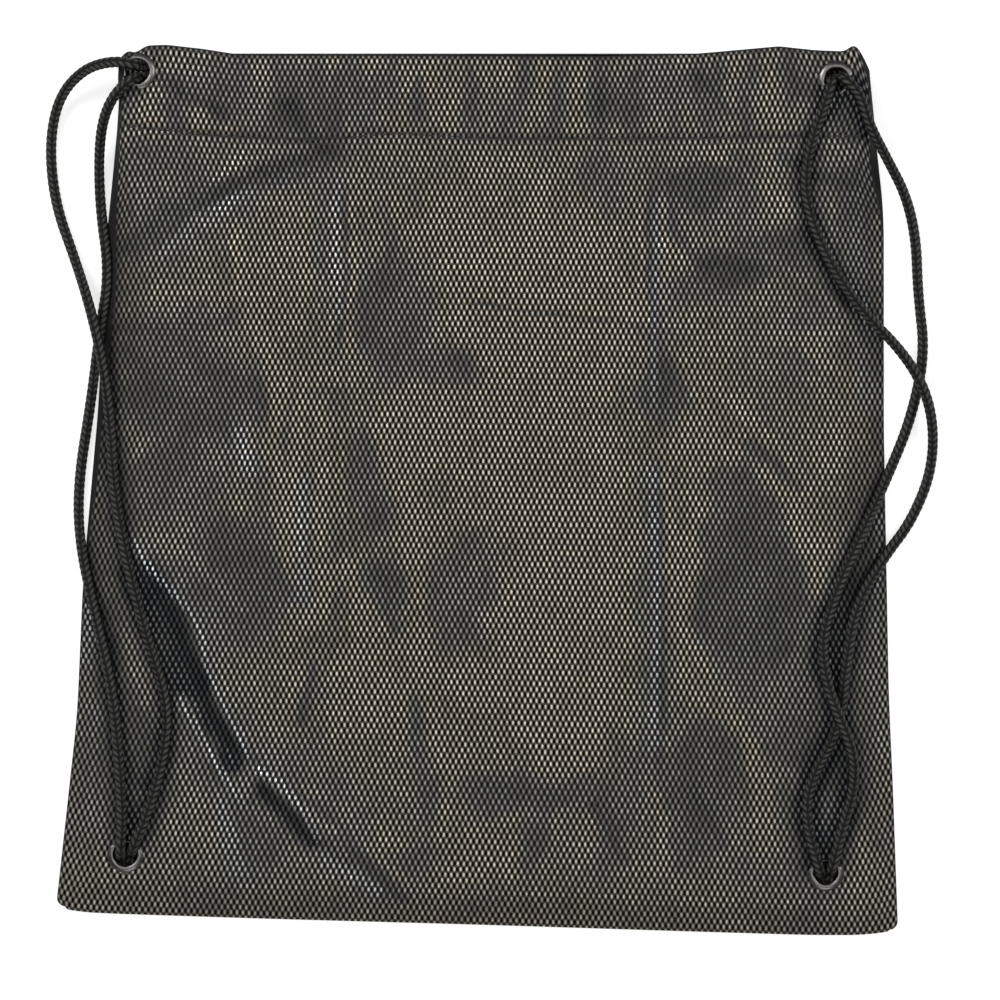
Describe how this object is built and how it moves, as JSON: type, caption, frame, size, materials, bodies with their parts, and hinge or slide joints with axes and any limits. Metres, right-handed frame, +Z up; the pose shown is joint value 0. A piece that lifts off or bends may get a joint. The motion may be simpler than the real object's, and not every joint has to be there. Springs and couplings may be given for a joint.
{
  "type": "drawstring laundry bag",
  "caption": "Black dotted cloth drawstring sack lying flat, with braided shoulder cords that run from a channel round the mouth through metal eyelets to the bottom corners.",
  "frame": {"origin": "on the floor, under the middle of the cloth body's box", "axes": "+Y towards the mouth, +Z up out of the front panel, +X to the right as seen from above"},
  "size_m": [0.4258, 0.4239, 0.0299],
  "materials": {
    "dotted_cloth": "woven, satin dots",
    "plain_cloth": "woven, matt",
    "thread": "spun",
    "drawcord": "herringbone braid",
    "eyelet_metal": "gunmetal, satin",
    "washer_metal": "satin"
  },
  "bodies": {
    "back": {"back_panel": "dotted_cloth", "back_channel_strip": "plain_cloth", "back_channel_stitching": "thread", "left_side_seam": "plain_cloth", "right_side_seam": "plain_cloth", "bottom_seam": "plain_cloth", "left_side_seam_thread": "thread", "right_side_seam_thread": "thread", "bottom_seam_thread": "thread", "left_cord_back_run": "drawcord", "right_cord_back_run": "drawcord", "left_cord_near_bend": "drawcord", "right_cord_near_bend": "drawcord", "left_cord_far_bend": "drawcord", "right_cord_far_bend": "drawcord"},
    "front": {"front_panel": "dotted_cloth", "front_channel_strip": "plain_cloth", "front_channel_stitching": "thread", "top_left_eyelet": "eyelet_metal", "top_right_eyelet": "eyelet_metal", "bottom_left_eyelet": "eyelet_metal", "bottom_right_eyelet": "eyelet_metal", "top_left_washer": "washer_metal", "top_right_washer": "washer_metal", "bottom_left_washer": "washer_metal", "bottom_right_washer": "washer_metal", "left_cord_outer_strand": "drawcord", "left_cord_inner_strand": "drawcord", "right_cord_outer_strand": "drawcord", "right_cord_inner_strand": "drawcord", "left_cord_front_run": "drawcord", "right_cord_front_run": "drawcord", "left_knot": "drawcord", "right_knot": "drawcord"}
  },
  "joints": [
    {"name": "mouth_open", "type": "hinge", "parent": "back", "child": "front", "pos_m": [0, -0.212, 0.00105], "axis": [1, 0, 0], "range_deg": [0, 8], "deforming": ["left_cord_near_bend", "right_cord_near_bend", "left_cord_far_bend", "right_cord_far_bend"]}
  ]
}
